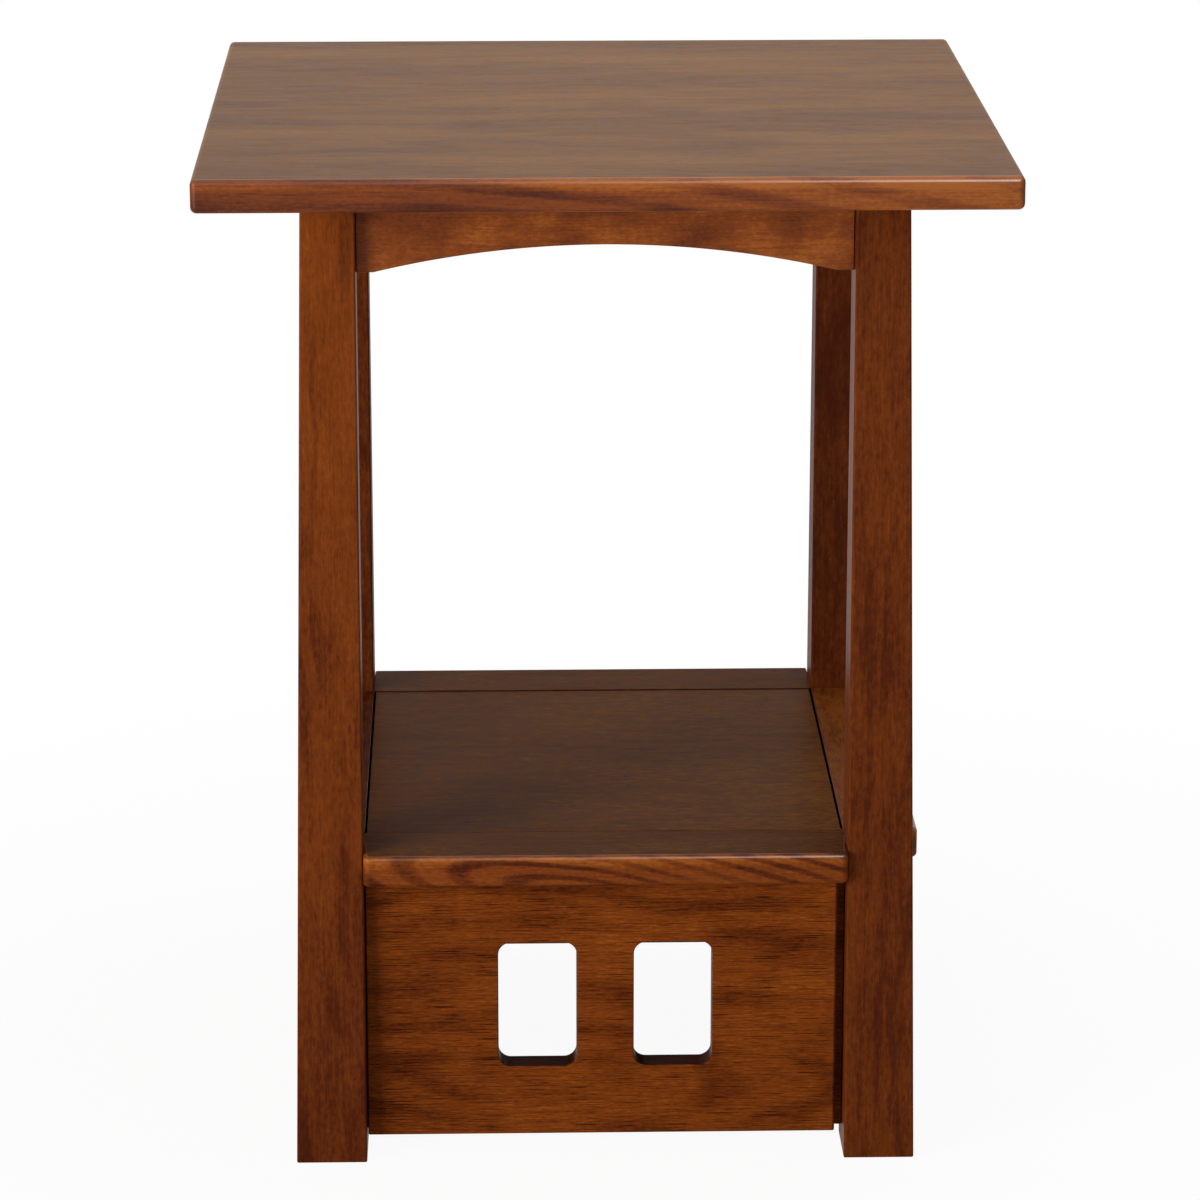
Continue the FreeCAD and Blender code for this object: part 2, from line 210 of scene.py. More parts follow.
def stained_acacia(
    name, grain, shift, palette="stain", heart=(0.0, 60.0, 90.0), ring=25.0, draw=6.0, flame=20.0,
    warp=12.0, tilt=0.0, figure=0.06, fibre=0.3, mottle=0.3, speck=(12.0, 4.0), pore=0.1,
    tick=(18.0, 0.8), cloud=0.3, patch=(140.0, 36.0), tone=0.0, drift=0.0, rubbed_and_lit=0.0, rim=0.0,
    lacquer=0.04, gloss=0.0, polish=0.0,
):
    """Acacia, planed, sanded, stained chestnut brown and sealed with satin lacquer.

    The eye sees dark growth rings that end in long arches, fine darker pores and fibres along the grain,
    a soft mottle from the stain, upper edges lighter where the stain wore thin and where light is painted
    on, and a satin sheen. Lengths are in millimetres, along the grain first. Heart is the place that the
    rings close round, ring their width, draw how many times longer than wide they are, flame the width of
    a bend in them, warp how far they bend, and tilt the angle in degrees at which the board was sawn.
    Figure, fibre, mottle, pore and cloud say how much each shows; speck, tick and patch are the sizes of
    the mottle, the pores and the clouds. Tone is how light the board is, and drift how much lighter it
    grows in a metre; on some faces these hold painted shade, on others painted light. rubbed_and_lit is how
    much lighter the upper edges are, where the stain wore thin and where light is painted on, and rim the
    height below which a painted glow under those edges runs out. Lacquer is the sheen of the whole face,
    gloss that of a clear last coat, and polish how much more of that coat lies on the upper edges.
    """
    colours = bpy.context.scene.end_table_colours
    material = new_material(name)
    tree = material.node_tree

    # The board's own place in the tree, with X along the grain
    place = add(tree, "ShaderNodeTexCoord").outputs["Object"]
    turned = add(tree, "ShaderNodeMapping", {
        "Vector": place, "Rotation": GRAIN_TURNS[grain],
    }).outputs["Vector"]
    board = add(tree, "ShaderNodeMapping", {
        "Vector": turned, "Location": [value * MM for value in shift],
    }).outputs["Vector"]
    from_heart = add(tree, "ShaderNodeMapping", {
        "Vector": turned, "Location": [-value * MM for value in heart],
    }).outputs["Vector"]
    sawn = add(tree, "ShaderNodeMapping", {
        "Vector": from_heart, "Rotation": (0.0, math.radians(tilt), 0.0),
    }).outputs["Vector"]

    # Growth rings; the ring pattern repeats every tau / 20 of its own units
    drawn_out = add(tree, "ShaderNodeMapping", {
        "Vector": sawn, "Scale": (1 / draw, 1.0, 1.0),
    }).outputs["Vector"]
    rings = add(tree, "ShaderNodeTexWave", {
        "Vector": drawn_out,
        "Scale": math.tau / 20 / (ring * MM),
        "Distortion": warp,
        "Detail": 1.5,
        "Detail Scale": 20 / math.tau * ring / flame,
        "Detail Roughness": 0.4,
    }, wave_type="RINGS", rings_direction="SPHERICAL", wave_profile="SIN").outputs["Fac"]
    late_wood = add(tree, "ShaderNodeMapRange", {
        "Value": rings, "From Min": 0.35, "From Max": 1.0,
    }, interpolation_type="SMOOTHSTEP").outputs["Result"]

    # Clouds in which the wood took more stain, fibres about 40 by 1.2 mm, the mottle of the stain, and open
    # pores, which are really 0.2 mm wide and are drawn wider so that they show
    clouds = grain_noise(tree, board, *patch, 3.0, 0.55)
    fibres = grain_noise(tree, board, 40.0, 1.2, 3.0, 0.6)
    mottling = grain_noise(tree, board, *speck, 4.0, 0.65)
    pores = add(tree, "ShaderNodeMapRange", {
        "Value": grain_noise(tree, board, *tick, 1.0, 0.5), "From Min": 0.56, "From Max": 0.72,
    }, interpolation_type="SMOOTHSTEP").outputs["Result"]
    uptake = add(tree, "ShaderNodeMapRange", {
        "Value": clouds, "From Min": 0.35, "From Max": 0.65,
        "To Min": -1.5 * figure, "To Max": -0.4 * figure,
    }, interpolation_type="SMOOTHSTEP").outputs["Result"]

    # Edges that turn up to the light, lighter where the stain wore thin and where light is painted on,
    # and below them a painted glow that runs out downwards
    facing = add(tree, "ShaderNodeSeparateXYZ", {
        0: add(tree, "ShaderNodeNewGeometry").outputs["Normal"],
    }).outputs["Z"]
    edges = add(tree, "ShaderNodeMapRange", {
        "Value": facing, "From Min": 0.05, "From Max": 0.5,
    }, interpolation_type="SMOOTHSTEP").outputs["Result"]
    height = add(tree, "ShaderNodeSeparateXYZ", {0: place}).outputs["Z"]
    strip = add(tree, "ShaderNodeMapRange", {
        "Value": height, "From Min": (rim - PAINTED_GLOW_STRIP) * MM, "From Max": rim * MM,
    }, interpolation_type="SMOOTHSTEP").outputs["Result"]
    rubbed_edges_and_painted_glow = add(tree, "ShaderNodeMath", {
        0: edges, 1: strip,
    }, operation="MAXIMUM").outputs[0]

    # How light the stained wood is, painted light on the upper edges included: all of these about the
    # middle of the stain's range
    along = add(tree, "ShaderNodeSeparateXYZ", {0: place}).outputs[grain.upper()]
    shade = 0.7 + tone - (fibre + mottle + cloud) / 2
    for field, share in (
        (late_wood, uptake), (fibres, fibre), (mottling, mottle), (clouds, cloud), (pores, -pore),
        (along, drift), (rubbed_edges_and_painted_glow, rubbed_and_lit),
    ):
        shade = add(tree, "ShaderNodeMath", {
            0: field, 1: share, 2: shade,
        }, operation="MULTIPLY_ADD").outputs[0]
    stain = add(tree, "ShaderNodeValToRGB", {"Fac": shade}, stops=[
        (position, getattr(colours, palette + "_" + depth))
        for position, depth in ((0.12, "pore"), (0.95, "light"), (0.42, "late"), (0.74, "mid"))
    ]).outputs["Color"]

    # Satin lacquer that has sunk a little into the pores
    roughness = add(tree, "ShaderNodeMapRange", {
        "Value": mottling, "From Min": 0.3, "From Max": 0.7, "To Min": 0.36, "To Max": 0.5,
    }).outputs["Result"]
    relief = add(tree, "ShaderNodeMath", {
        0: pores, 1: -0.7, 2: fibres,
    }, operation="MULTIPLY_ADD").outputs[0]
    bump = add(tree, "ShaderNodeBump", {
        "Height": relief, "Strength": 0.12, "Distance": 0.2 * MM,
    }).outputs["Normal"]

    # The clear last coat
    coat = add(tree, "ShaderNodeMath", {
        0: edges, 1: polish, 2: gloss,
    }, operation="MULTIPLY_ADD").outputs[0]
    surface = add(tree, "ShaderNodeBsdfPrincipled", {
        "Base Color": stain,
        "Roughness": roughness,
        "Specular IOR Level": lacquer,
        "Coat Weight": coat,
        "Coat IOR": 1.4,
        "Coat Roughness": 0.35,
        "Normal": bump,
    }).outputs["BSDF"]
    add(tree, "ShaderNodeOutputMaterial", {"Surface": surface})
    return material


def zinc_plated_steel(name):
    """Steel screws, turned and zinc plated: a dull pale metal with faint cloudy spangle."""
    colours = bpy.context.scene.end_table_colours
    material = new_material(name)
    tree = material.node_tree
    place = add(tree, "ShaderNodeTexCoord").outputs["Object"]
    # Clouds in the plating about 1.5 mm across
    clouds = add(tree, "ShaderNodeTexNoise", {
        "Vector": place, "Scale": 650.0, "Detail": 2.0,
    }).outputs["Fac"]
    dull = add(tree, "ShaderNodeMapRange", {
        "Value": clouds, "From Min": 0.3, "From Max": 0.7, "To Min": 0.32, "To Max": 0.52,
    }).outputs["Result"]
    surface = add(tree, "ShaderNodeBsdfPrincipled", {
        "Base Color": colours.screw_zinc, "Metallic": 1.0, "Roughness": dull,
    }).outputs["BSDF"]
    add(tree, "ShaderNodeOutputMaterial", {"Surface": surface})
    return material


def arc(centre, radius, start, end, steps):
    """Points on an arc in a plane, from one angle to another in degrees."""
    angles = [math.radians(start + (end - start) * step / steps) for step in range(steps + 1)]
    return [(centre[0] + radius * math.cos(turn), centre[1] + radius * math.sin(turn)) for turn in angles]


def pushed(polygons, travel):
    """A closed solid: flat polygons that share their joining edges, pushed along a vector."""
    solid = bmesh.new()
    corners = {}
    faces = []
    for polygon in polygons:
        points = []
        for point in polygon:
            key = tuple(round(value, 7) for value in point)
            if key not in corners:
                corners[key] = solid.verts.new(point)
            points.append(corners[key])
        faces.append(solid.faces.new(points))
    moved = bmesh.ops.extrude_face_region(solid, geom=faces)["geom"]
    points = [item for item in moved if isinstance(item, bmesh.types.BMVert)]
    bmesh.ops.translate(solid, verts=points, vec=travel)
    bmesh.ops.recalc_face_normals(solid, faces=solid.faces)
    return solid


def rounded_mesh(name, solid, radius_of):
    """The solid as a mesh with every sharp edge rounded; radius_of gives the radius of an edge."""
    weights = solid.edges.layers.float.new("bevel_weight_edge")
    radii = {edge: radius_of(edge) for edge in solid.edges if edge.calc_face_angle(0.0) > EDGE_ANGLE}
    largest = max(radii.values())
    for edge, radius in radii.items():
        edge[weights] = radius / largest
    for face in solid.faces:
        face.smooth = True
    mesh = bpy.data.meshes.new(name)
    solid.to_mesh(mesh)
    solid.free()
    draft = bpy.data.objects.new(name + "_draft", mesh)
    bpy.context.scene.collection.objects.link(draft)
    rounding = draft.modifiers.new("Rounded edges", "BEVEL")
    rounding.limit_method = "WEIGHT"
    rounding.width = largest
    rounding.segments = EDGE_STEPS
    rounding.harden_normals = True
    evaluated = draft.evaluated_get(bpy.context.evaluated_depsgraph_get())
    result = bpy.data.meshes.new_from_object(evaluated)
    result.name = name
    bpy.data.objects.remove(draft)
    bpy.data.meshes.remove(mesh)
    return result


def place_piece(mesh, node, material):
    """Puts a finished mesh in the scene in place of a node of the frame."""
    mesh.materials.clear()
    mesh.materials.append(material)
    piece = bpy.data.objects.new(node + "_wood", mesh)
    bpy.context.scene.collection.objects.link(piece)
    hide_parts(node)
    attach(piece, "root")
    return piece


def finish_faces(piece, material, chosen):
    """Gives a further material to the faces of a piece whose normal is chosen."""
    piece.data.materials.append(material)
    for face in piece.data.polygons:
        if chosen(face.normal):
            face.material_index = len(piece.data.materials) - 1


def finish_node(node, material):
    """Gives a material to a node of the frame that keeps its shape."""
    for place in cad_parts[node].material_slots:
        place.material = material


def is_level(normal):
    """Whether a face lies level, on top of a piece or under it."""
    return abs(normal.z) > LEVEL_LEAN


def sawn_edge(name, grain, shift):
    """The sawn edges of a board, which soak up more stain than its faces and look almost black brown."""
    return stained_acacia(name, grain, shift, mottle=0.5, speck=(3.0, 1.5), tone=-0.4)


def corners_of(node):
    """The lowest and the highest corner of a node of the frame."""
    low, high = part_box(node)
    return Vector(low), Vector(high)


def half_span():
    """Half the distance between the plumb inner faces of two legs."""
    return corners_of("leg_rear_right")[0].x


def quarter_turn(side):
    """The turn that brings a piece from the front round to a side."""
    return Matrix.Rotation(math.pi / 2 * SIDES.index(side), 3, "Z")


def side_grain(side):
    """The axis along which the boards of a side run."""
    return "x" if side in ("front", "rear") else "y"


class EndTableTop(bpy.types.Operator):
    """Builds the top board with its rounded corners and rims"""

    bl_idname = "end_table.top"
    bl_label = "Top"

    # The lipping along each axis: how light it is, how much lighter it grows in a metre, how much lighter
    # its upper edge is where the stain wore thin and where light is painted on, its gloss, and how much
    # more polish its upper edge has. The front and back lipping is painted lighter towards its right end,
    # as light falls there.
    lippings = {
        "x": (0.0, 0.75, 0.22, 0.35, 0.65),
        "y": (-0.08, 0.0, 0.0, 0.06, 0.0),
    }

    def execute(self, context):
        sizes = context.scene.end_table_sizes
        low, high = corners_of("table_top")
        radius = sizes.top_corner_radius
        x = high.x - radius
        y = high.y - radius
        outline = []
        for quarter, (side_x, side_y) in enumerate(((1, 1), (-1, 1), (-1, -1), (1, -1))):
            outline += arc((side_x * x, side_y * y), radius, 90 * quarter, 90 * quarter + 90, CORNER_STEPS)
        board = pushed([[(*point, low.z) for point in outline]], Vector((0.0, 0.0, high.z - low.z)))
        mesh = rounded_mesh("table_top", board, lambda edge: sizes.top_edge_radius)
        edges = {}
        for grain, (tone, drift, rubbed_and_lit, gloss, polish) in self.lippings.items():
            edges[grain] = stained_acacia(
                "acacia_top_lipping_" + grain, grain, (130.0, 40.0, 0.0),
                heart=(-40.0, -240.0, 600.0), ring=15.0, draw=7.0, flame=60.0, warp=8.0, tilt=-6.0,
                figure=0.15, mottle=0.4, speck=(4.0, 2.0), tone=tone, drift=drift, rubbed_and_lit=rubbed_and_lit,
                rim=(high.z - sizes.top_edge_radius) / MM, lacquer=0.02, gloss=gloss, polish=polish,
            )
        veneer = stained_acacia(
            "acacia_top_veneer", "x", (610.0, 140.0, 0.0), palette="top",
            **(SLICED | {"figure": 0.08, "mottle": 0.55}), cloud=0.45, patch=(420.0, 60.0), tone=0.1,
            lacquer=0.068,
        )
        piece = place_piece(mesh, "table_top", edges["x"])
        finish_faces(piece, edges["y"], lambda normal: abs(normal.x) > abs(normal.y))
        # The veneer runs out over the upper round of the sides
        finish_faces(
            piece, veneer,
            lambda normal: is_level(normal) or (abs(normal.x) > abs(normal.y) and normal.z > EDGE_LEAN),
        )
        return {"FINISHED"}


class EndTableLegs(bpy.types.Operator):
    """Builds the four legs, plumb inside and spreading towards the foot outside"""

    bl_idname = "end_table.legs"
    bl_label = "Legs"

    # Each leg comes from its own stick: its place in the tree in millimetres, how light it is at the foot,
    # and how much lighter it grows in a metre up the leg
    sticks = {
        "front_left": ((0.0, 17.0, 31.0), -0.22, 0.33),
        "front_right": ((400.0, 83.0, 12.0), -0.18, 0.0),
        "rear_left": ((900.0, 140.0, 55.0), -0.22, 0.0),
        "rear_right": ((1500.0, 210.0, 20.0), -0.22, 0.0),
    }

    def execute(self, context):
        sizes = context.scene.end_table_sizes
        inner = half_span()
        top = inner + sizes.leg_top_size
        for corner in CORNERS:
            low, high = corners_of("leg_" + corner)
            side_x = -1 if "left" in corner else 1
            side_y = -1 if "front" in corner else 1
            foot = max(abs(low.x), abs(high.x))
            plan = ((inner, inner), (foot, inner), (foot, foot), (inner, foot))
            sole = [Vector((side_x * x, side_y * y, low.z)) for x, y in plan]
            stick = pushed([sole], Vector((0.0, 0.0, high.z - low.z)))
            for point in stick.verts:
                if point.co.z > low.z + MM:
                    point.co.x = side_x * (inner if abs(point.co.x) < foot - MM else top)
                    point.co.y = side_y * (inner if abs(point.co.y) < foot - MM else top)

            def radius_of(edge):
                heights = [point.co.z for point in edge.verts]
                if max(heights) - min(heights) > MM:
                    return sizes.leg_edge_radius
                return sizes.leg_foot_radius if min(heights) < MM else sizes.arris_radius

            mesh = rounded_mesh("leg_" + corner, stick, radius_of)
            shift, tone, drift = self.sticks[corner]
            wood = stained_acacia(
                "acacia_leg_" + corner, "z", shift, fibre=0.26, mottle=0.4, speck=(6.0, 2.4), pore=0.05,
                tick=(7.0, 1.0), cloud=0.26, patch=(110.0, 24.0), tone=tone, drift=drift, lacquer=0.028,
            )
            place_piece(mesh, "leg_" + corner, wood)
        return {"FINISHED"}


class EndTableAprons(bpy.types.Operator):
    """Builds the arched aprons under the top"""

    bl_idname = "end_table.aprons"
    bl_label = "Aprons"

    def execute(self, context):
        sizes = context.scene.end_table_sizes
        half = half_span()
        low, high = corners_of("apron_front")
        outer = half + sizes.leg_top_size - sizes.apron_setback
        half_arch = half - sizes.arch_land
        arch_radius = (half_arch ** 2 + sizes.arch_rise ** 2) / (2 * sizes.arch_rise)
        middle = (0.0, low.z + sizes.arch_rise - arch_radius)
        spread = math.degrees(math.asin(half_arch / arch_radius))
        arch = arc(middle, arch_radius, 90 + spread, 90 - spread, ARCH_STEPS)
        outline = [(-half, low.z), *arch, (half, low.z), (half, high.z), (-half, high.z)]
        face = [(x, -outer, z) for x, z in outline]

        def radius_of(edge):
            at_top = all(point.co.z > high.z - MM for point in edge.verts)
            on_face = abs(edge.verts[0].co.y - edge.verts[1].co.y) < TOUCH
            return sizes.apron_edge_radius if on_face and not at_top else sizes.arris_radius

        for count, side in enumerate(SIDES):
            board = pushed([face], Vector((0.0, sizes.apron_thickness, 0.0)))
            mesh = rounded_mesh("apron_" + side, board, radius_of)
            mesh.transform(quarter_turn(side).to_4x4())
            shift = (310.0 * count + 90.0, 25.0, 40.0 * count)
            wood = stained_acacia(
                "acacia_apron_" + side, side_grain(side), shift, mottle=0.45, speck=(3.0, 1.5), pore=0.08,
                cloud=0.75, patch=(35.0, 30.0), tone=0.03, lacquer=0.1,
            )
            joint = sawn_edge("acacia_apron_joint_" + side, side_grain(side), shift)
            along = quarter_turn(side) @ Vector((1.0, 0.0, 0.0))
            piece = place_piece(mesh, "apron_" + side, wood)
            finish_faces(piece, joint, lambda normal: abs(normal.dot(along)) > EDGE_LEAN)
        return {"FINISHED"}


class EndTableShelfRails(bpy.types.Operator):
    """Builds the nosed rails round the shelf"""

    bl_idname = "end_table.shelf_rails"
    bl_label = "Shelf rails"

    # The stain on each rail's upper and lower face, how light it is, and the lacquer's sheen. The left
    # rail's face is darkened with painted shade from the left leg, and the right rail's face is lightened
    # with painted light where it lies in shade.
    faces = {
        "front": ("veneer", 0.02, 0.014),
        "right": ("stain", 0.2, 0.05),
        "rear": ("veneer", 0.02, 0.014),
        "left": ("stain", -0.22, 0.014),
    }

    def execute(self, context):
        sizes = context.scene.end_table_sizes
        half = half_span()
        for count, side in enumerate(SIDES):
            low, high = corners_of("shelf_rail_" + side)
            nose = sizes.rear_nose_radius if side == "rear" else sizes.nose_radius
            radius = sizes.rear_nose_return_radius if side == "rear" else sizes.nose_return_radius
            core = max(abs(value) for value in (*low.xy, *high.xy)) - radius
            shift = (270.0 * count + 20.0, 12.0, 55.0 * count)
            way = 1 if side in ("front", "right") else -1
            face_palette, face_tone, face_lacquer = self.faces[side]
            left = arc((radius - half, -core), radius, 180, 270, CORNER_STEPS)
            right = arc((half - radius, -core), radius, 270, 360, CORNER_STEPS)
            outline = [(-half, -half), *left, *right, (half, -half)]
            board = pushed([[(*point, low.z) for point in outline]], Vector((0.0, 0.0, high.z - low.z)))

            def radius_of(edge):
                on_nose = all(point.co.y < TOUCH - core for point in edge.verts)
                return nose if on_nose else sizes.joint_arris_radius

            mesh = rounded_mesh("shelf_rail_" + side, board, radius_of)
            mesh.transform(quarter_turn(side).to_4x4())
            # The nose's upper edge is lighter where the stain wore thin and where light is painted on, and
            # a painted glow runs out below it
            wood = stained_acacia(
                "acacia_shelf_rail_" + side, side_grain(side), shift,
                heart=(-10.0 * way, -203.0 * way, 184.0), ring=7.5, draw=4.5, flame=40.0, warp=7.0,
                tilt=-9.0 * way, figure=0.22, mottle=0.5, speck=(4.0, 2.0), cloud=0.4, tone=-0.02,
                rubbed_and_lit=0.2, rim=(high.z - nose) / MM, lacquer=0.02, gloss=0.07, polish=0.88,
            )
            face = stained_acacia(
                "acacia_shelf_rail_face_" + side, side_grain(side), shift, palette=face_palette,
                **SLICED, tone=face_tone, lacquer=face_lacquer,
            )
            joint = sawn_edge("acacia_shelf_rail_joint_" + side, side_grain(side), shift)
            inwards = quarter_turn(side) @ Vector((0.0, 1.0, 0.0))
            piece = place_piece(mesh, "shelf_rail_" + side, wood)
            finish_faces(piece, face, lambda normal: is_level(normal) or normal.dot(inwards) > ROUND_LEAN)
            finish_faces(piece, joint, lambda normal: normal.dot(inwards) > JOINT_LEAN)
        return {"FINISHED"}


class EndTableShelfBoard(bpy.types.Operator):
    """Builds the board let in between the shelf rails"""

    bl_idname = "end_table.shelf_board"
    bl_label = "Shelf board"

    def execute(self, context):
        sizes = context.scene.end_table_sizes
        low, high = corners_of("shelf_board")
        outline = ((low.x, low.y), (high.x, low.y), (high.x, high.y), (low.x, high.y))
        board = pushed([[(*point, low.z) for point in outline]], Vector((0.0, 0.0, high.z - low.z)))
        mesh = rounded_mesh("shelf_board", board, lambda edge: sizes.joint_arris_radius)
        shift = (700.0, 90.0, 15.0)
        wood = stained_acacia(
            "acacia_shelf_board", "x", shift, palette="veneer",
            **SLICED, cloud=0.3, patch=(200.0, 90.0), tone=0.06, drift=0.55, lacquer=0.014,
        )
        edge = sawn_edge("acacia_shelf_board_edge", "x", shift)
        piece = place_piece(mesh, "shelf_board", wood)
        finish_faces(piece, edge, lambda normal: normal.xy.length > EDGE_LEAN)
        return {"FINISHED"}


class EndTableLowerPanels(bpy.types.Operator):
    """Builds the lower panels with their two rounded cut-outs"""

    bl_idname = "end_table.lower_panels"
    bl_label = "Lower panels"

    # How far a tongue reaches into its panel
    tongue_root = 2 * MM

    def execute(self, context):
        sizes = context.scene.end_table_sizes
        half = half_span()
        low, high = corners_of("lower_panel_front")
        left = sizes.panel_joint_gap - half
        right = half - sizes.panel_shadow_gap
        middle = low.z + sizes.cutout_lift + sizes.cutout_height / 2
        thickness = Vector((0.0, high.y - low.y, 0.0))
        over = [(left, middle)]
        under = [(left, middle)]
        for place in (-1, 1):
            over += self.half_cutout(sizes, place, middle, 1)
            under += self.half_cutout(sizes, place, middle, -1)
        over += [(right, middle), (right, high.z), (left, high.z)]
        under += [(right, middle), (right, low.z), (left, low.z)]
        faces = [[(x, low.y, z) for x, z in outline] for outline in (over, under[::-1])]

        def radius_of(edge):
            in_front = all(point.co.y < low.y + MM for point in edge.verts)
            at_end = all(abs(point.co.x - right) < TOUCH for point in edge.verts)
            return sizes.panel_end_radius if in_front and at_end else sizes.panel_edge_radius

        for count, side in enumerate(SIDES):
            board = pushed(faces, thickness)
            self.add_tongue(board, sizes, left + self.tongue_root, -half, low.z, high)
            self.add_tongue(board, sizes, right - self.tongue_root, half, low.z, high)
            mesh = rounded_mesh("lower_panel_" + side, board, radius_of)
            shift = (330.0 * count + 60.0, 33.0, 75.0 * count)
            way = 1 if side in ("front", "right") else -1
            mesh.transform(quarter_turn(side).to_4x4())
            wood = stained_acacia(
                "acacia_lower_panel_" + side, side_grain(side), shift,
                heart=(-70.0 * way, -195.0 * way, 50.0), ring=30.0, draw=3.0, flame=60.0, warp=9.0,
                figure=0.1, fibre=0.5, mottle=0.7, speck=(6.0, 1.0), pore=0.5, tick=(30.0, 0.5),
                cloud=0.34, patch=(90.0, 45.0), tone=-0.03, drift=0.3, lacquer=0.01,
            )
            edge = sawn_edge("acacia_panel_edge_" + side, side_grain(side), shift)
            across = quarter_turn(side) @ Vector((0.0, 1.0, 0.0))
            piece = place_piece(mesh, "lower_panel_" + side, wood)
            # The edges and the cut-outs: faces that hardly lean across the panel
            finish_faces(piece, edge, lambda normal: abs(normal.dot(across)) < EDGE_LEAN)
        return {"FINISHED"}

    def half_cutout(self, sizes, place, middle, way):
        """The upper or lower half of a cut-out's outline, from its left side to its right side."""
        radius = sizes.cutout_corner_radius
        x = sizes.cutout_width / 2 - radius
        z = sizes.cutout_height / 2 - radius
        points = [(-x - radius, 0.0)]
        points += arc((-x, z), radius, 180, 90, CORNER_STEPS)
        points += arc((x, z), radius, 90, 0, CORNER_STEPS)
        points += [(x + radius, 0.0)]
        centre = place * sizes.cutout_spacing / 2
        return [(centre + along, middle + way * up) for along, up in points]

    def add_tongue(self, board, sizes, root, tip, bottom, high):
        """Adds the tongue at one end, at the back of the panel, up to the leg."""
        front = high.y - sizes.tongue_thickness
        back = high.y - sizes.arris_radius / 2
        plan = ((root, front), (tip, front), (tip, back), (root, back))
        strip = pushed([[(*point, bottom) for point in plan]], Vector((0.0, 0.0, high.z - bottom)))
        mesh = bpy.data.meshes.new("tongue")
        strip.to_mesh(mesh)
        strip.free()
        board.from_mesh(mesh)
        bpy.data.meshes.remove(mesh)


class EndTableInnerPieces(bpy.types.Operator):
    """Finishes the cleats under the shelf and the corner blocks under the top"""

    bl_idname = "end_table.inner_pieces"
    bl_label = "Cleats and corner blocks"

    def execute(self, context):
        for count, side in enumerate(SIDES):
            wood = stained_acacia(
                "acacia_shelf_cleat_" + side, side_grain(side), (210.0 * count, 61.0, 9.0 * count),
                figure=0.12, tone=-0.1,
            )
            finish_node("shelf_cleat_" + side, wood)
        for count, corner in enumerate(CORNERS):
            wood = stained_acacia(
                "acacia_corner_block_" + corner, "x", (160.0 * count, 18.0, 70.0 * count),
                figure=0.12, tone=-0.1,
            )
            finish_node("corner_block_" + corner, wood)
        return {"FINISHED"}


class EndTableScrews(bpy.types.Operator):
    """Finishes the screws that hold the top"""

    bl_idname = "end_table.screws"
    bl_label = "Screws"

    def execute(self, context):
        finish_node("top_screws", zinc_plated_steel("zinc_plated_steel"))
        return {"FINISHED"}


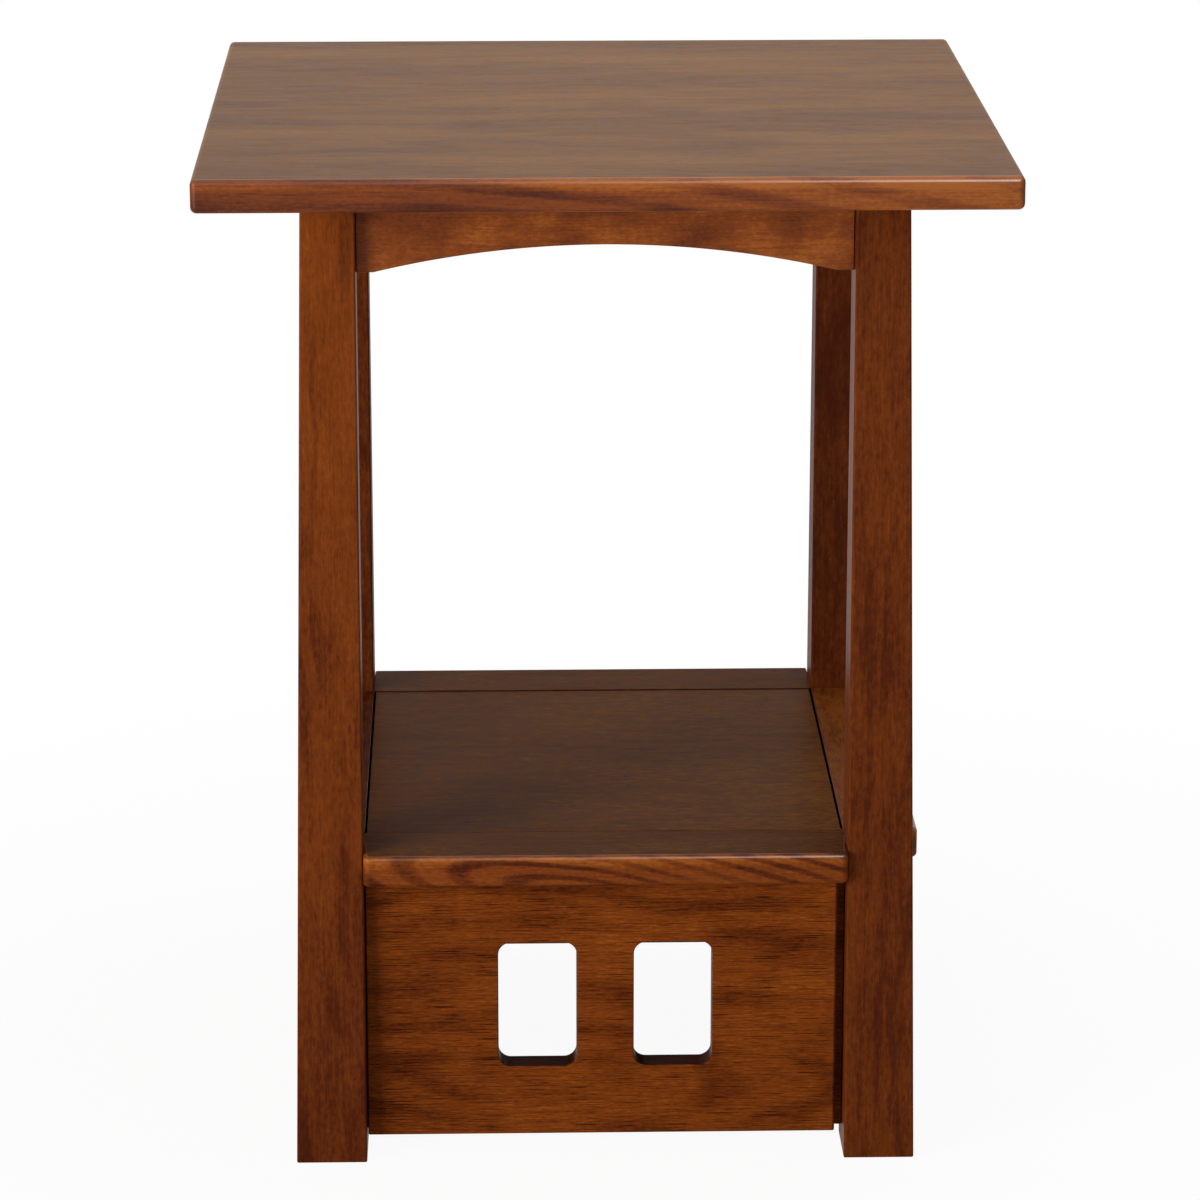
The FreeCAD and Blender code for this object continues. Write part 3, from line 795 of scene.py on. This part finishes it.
class EndTableStage(bpy.types.Operator):
    """Sets up the pale floor, the soft studio light and the camera"""

    bl_idname = "end_table.stage"
    bl_label = "Studio"

    # The floor in metres: its radius, and where the table's shadow on it begins to fade and is gone
    floor_radius = 14.0
    shadow_reach = (0.3, 1.1)

    # How much of the lit floor the camera sees beside the table, and how brightly the room lights the table
    shadow_depth = 0.06
    room_light = 0.33

    # The camera: the picture and the focal length in pixels, the place in metres and the turns in radians
    image_pixels = 1200
    focal_pixels = 4803.28
    camera_place = (-0.07826, -3.12104, 1.22703)
    camera_yaw = 0.02548
    camera_pitch = 0.28167
    camera_roll = 0.00025

    # Each lamp: where it hangs, where it points, its width and depth, and its power in watts
    lamps = {
        "key": ((-2.7, -2.2, 0.85), (0.0, 0.0, 0.35), (1.8, 1.5), 106.0),
        "fill": ((0.9, -3.4, 1.0), (0.0, 0.0, 0.3), (1.6, 1.6), 9.0),
        "overhead": ((0.25, 0.1, 1.9), (0.1, 0.05, 0.6), (0.7, 0.5), 10.0),
        "glint": ((0.95, -2.2, 2.0), (0.1, -0.2, 0.6), (0.9, 1.5), 108.0),
    }

    def execute(self, context):
        context.scene.view_settings.view_transform = "Standard"
        self.build_floor(context)
        self.build_world(context)
        for name, (place, aim, (width, depth), power) in self.lamps.items():
            light = bpy.data.lights.new(name, "AREA")
            light.shape = "ELLIPSE"
            light.size = width
            light.size_y = depth
            light.energy = power
            lamp = bpy.data.objects.new(name, light)
            lamp.location = place
            lamp.rotation_euler = (Vector(aim) - Vector(place)).to_track_quat("-Z", "Y").to_euler()
            # The overhead lamp is not mirrored in the lacquer, and the glint is seen there only
            lamp.visible_glossy = name != "overhead"
            lamp.visible_diffuse = name != "glint"
            context.scene.collection.objects.link(lamp)
        self.build_camera(context)
        return {"FINISHED"}

    def build_floor(self, context):
        """A pale painted floor: matt, white where it runs on behind, with the table's soft shadow."""
        disc = bmesh.new()
        bmesh.ops.create_circle(disc, cap_ends=True, segments=128, radius=self.floor_radius)
        mesh = bpy.data.meshes.new("floor")
        disc.to_mesh(mesh)
        disc.free()
        floor = bpy.data.objects.new("floor", mesh)
        context.scene.collection.objects.link(floor)
        material = new_material("matt_painted_floor")
        tree = material.node_tree
        paint = add(tree, "ShaderNodeBsdfDiffuse", {"Color": context.scene.end_table_colours.floor})
        white = add(tree, "ShaderNodeEmission", {"Color": (1.0, 1.0, 1.0, 1.0), "Strength": 1.0})
        seen = self.background_rays(tree)
        place = add(tree, "ShaderNodeTexCoord").outputs["Object"]
        distance = add(tree, "ShaderNodeVectorMath", {0: place}, operation="LENGTH").outputs["Value"]
        far = add(tree, "ShaderNodeMapRange", {
            "Value": distance, "From Min": self.shadow_reach[0], "From Max": self.shadow_reach[1],
            "To Min": 1.0 - self.shadow_depth, "To Max": 1.0,
        }, interpolation_type="SMOOTHSTEP").outputs["Result"]
        share = add(tree, "ShaderNodeMath", {0: seen, 1: far}, operation="MULTIPLY").outputs[0]
        surface = add(tree, "ShaderNodeMixShader", {
            0: share, 1: paint.outputs[0], 2: white.outputs[0],
        }).outputs[0]
        add(tree, "ShaderNodeOutputMaterial", {"Surface": surface})
        mesh.materials.append(material)

    def build_world(self, context):
        """A dim grey room all round, white where it is looked at or mirrored."""
        world = bpy.data.worlds.new("studio")
        context.scene.world = world
        world.use_nodes = True
        tree = world.node_tree
        tree.nodes.clear()
        strength = add(tree, "ShaderNodeMapRange", {
            "Value": self.background_rays(tree), "To Min": self.room_light, "To Max": 1.0,
        }).outputs["Result"]
        room = add(tree, "ShaderNodeBackground", {"Color": (1.0, 1.0, 1.0, 1.0), "Strength": strength})
        add(tree, "ShaderNodeOutputWorld", {"Surface": room.outputs[0]})

    def background_rays(self, tree):
        """One for the rays that show the background, and nothing for those that light the table."""
        path = add(tree, "ShaderNodeLightPath")
        seen = path.outputs["Is Camera Ray"]
        for kind in ("Is Glossy Ray", "Is Transmission Ray"):
            seen = add(tree, "ShaderNodeMath", {
                0: seen, 1: path.outputs[kind],
            }, operation="MAXIMUM").outputs[0]
        return seen

    def build_camera(self, context):
        """The camera at the photograph's place, looking down at the table."""
        data = bpy.data.cameras.new("camera")
        data.sensor_width = 36.0
        data.lens = data.sensor_width * self.focal_pixels / self.image_pixels
        data.clip_end = 100.0
        camera = bpy.data.objects.new("camera", data)
        turn = (
            Matrix.Rotation(-self.camera_yaw, 3, "Z")
            @ Matrix.Rotation(math.pi / 2 - self.camera_pitch, 3, "X")
            @ Matrix.Rotation(self.camera_roll, 3, "Z")
        )
        camera.matrix_world = Matrix.Translation(self.camera_place) @ turn.to_4x4()
        context.scene.collection.objects.link(camera)
        context.scene.camera = camera


class EndTablePanel(bpy.types.Panel):
    """Lists the pieces of the end table, its sizes and its colours"""

    bl_idname = "VIEW3D_PT_end_table"
    bl_label = "End table"
    bl_space_type = "VIEW_3D"
    bl_region_type = "UI"
    bl_category = "End table"

    def draw(self, context):
        for operator in OPERATORS:
            self.layout.operator(operator.bl_idname)
        for group in (context.scene.end_table_sizes, context.scene.end_table_colours):
            box = self.layout.box()
            for name in group.bl_rna.properties.keys():
                if name not in ("rna_type", "name"):
                    box.prop(group, name)


OPERATORS = (
    EndTableTop,
    EndTableLegs,
    EndTableAprons,
    EndTableShelfRails,
    EndTableShelfBoard,
    EndTableLowerPanels,
    EndTableInnerPieces,
    EndTableScrews,
    EndTableStage,
)
CLASSES = (EndTableSizes, EndTableColours, *OPERATORS, EndTablePanel)


def register():
    """Registers the classes and the settings that they share."""
    for kind in CLASSES:
        bpy.utils.register_class(kind)
    bpy.types.Scene.end_table_sizes = bpy.props.PointerProperty(type=EndTableSizes)
    bpy.types.Scene.end_table_colours = bpy.props.PointerProperty(type=EndTableColours)


def unregister():
    """Takes the classes and the settings away again."""
    del bpy.types.Scene.end_table_colours
    del bpy.types.Scene.end_table_sizes
    for kind in reversed(CLASSES):
        bpy.utils.unregister_class(kind)


def main():
    """Builds the table in its studio."""
    register()
    bpy.ops.end_table.top()
    bpy.ops.end_table.legs()
    bpy.ops.end_table.aprons()
    bpy.ops.end_table.shelf_rails()
    bpy.ops.end_table.shelf_board()
    bpy.ops.end_table.lower_panels()
    bpy.ops.end_table.inner_pieces()
    bpy.ops.end_table.screws()
    bpy.ops.end_table.stage()


if __name__ == "__main__":
    main()
